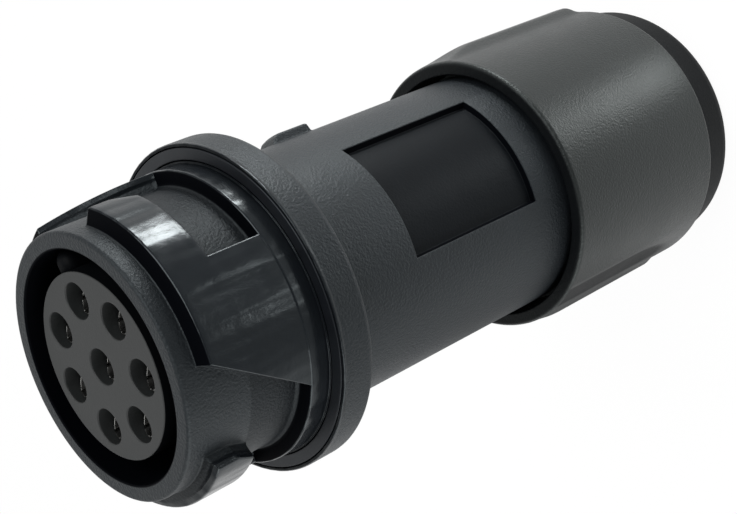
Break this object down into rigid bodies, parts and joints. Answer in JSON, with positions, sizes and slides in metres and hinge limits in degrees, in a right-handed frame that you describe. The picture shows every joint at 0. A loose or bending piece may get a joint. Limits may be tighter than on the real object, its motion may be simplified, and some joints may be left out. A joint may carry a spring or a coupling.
{
  "type": "circular cable connector",
  "caption": "In-line circular connector with a bayonet coupling shell, a keyed insert of socket contacts and a screw-on cable gland, standing on its gland nut with the mating face up.",
  "frame": {"origin": "centre of the gland nut's back face, which the part stands on", "axes": "+Z along the connector's axis, towards the mating face; +X towards the polarising key"},
  "size_m": [0.0216, 0.0216, 0.051],
  "materials": {
    "shell_black": "polished mould at the mating end, fine spark texture on flange and barrel",
    "nut_black": "fine moulded texture",
    "insert_grey": "matt, glass filled",
    "cage_grey": "matt",
    "seal_rubber": "moulded rubber",
    "contact_tin": "dull tin plate",
    "clip_steel": "spring steel"
  },
  "bodies": {
    "housing": {"coupling_shell": "shell_black", "contact_insert": "insert_grey", "insert_clip": "clip_steel", "face_seal": "seal_rubber", "flange_gasket": "seal_rubber", "socket_contact_1": "contact_tin", "socket_contact_2": "contact_tin", "socket_contact_3": "contact_tin", "socket_contact_4": "contact_tin", "socket_contact_5": "contact_tin", "socket_contact_6": "contact_tin", "socket_contact_7": "contact_tin", "socket_contact_8": "contact_tin"},
    "gland": {"gland_cage": "cage_grey", "cable_gland": "seal_rubber"},
    "nut": {"gland_nut": "nut_black"}
  },
  "joints": [
    {"name": "gland_travel", "type": "slide", "parent": "housing", "child": "gland", "axis": [0, 0, -1], "range_m": [0, 0.006]},
    {"name": "nut_turn", "type": "hinge", "parent": "gland", "child": "nut", "pos_m": [0, 0, 0.0095], "axis": [0, 0, -1], "range_deg": [0, 1440]}
  ],
  "couplings": [
    {"joint": "gland_travel", "follows": "nut_turn", "m_per_rad": 0.00023873}
  ]
}
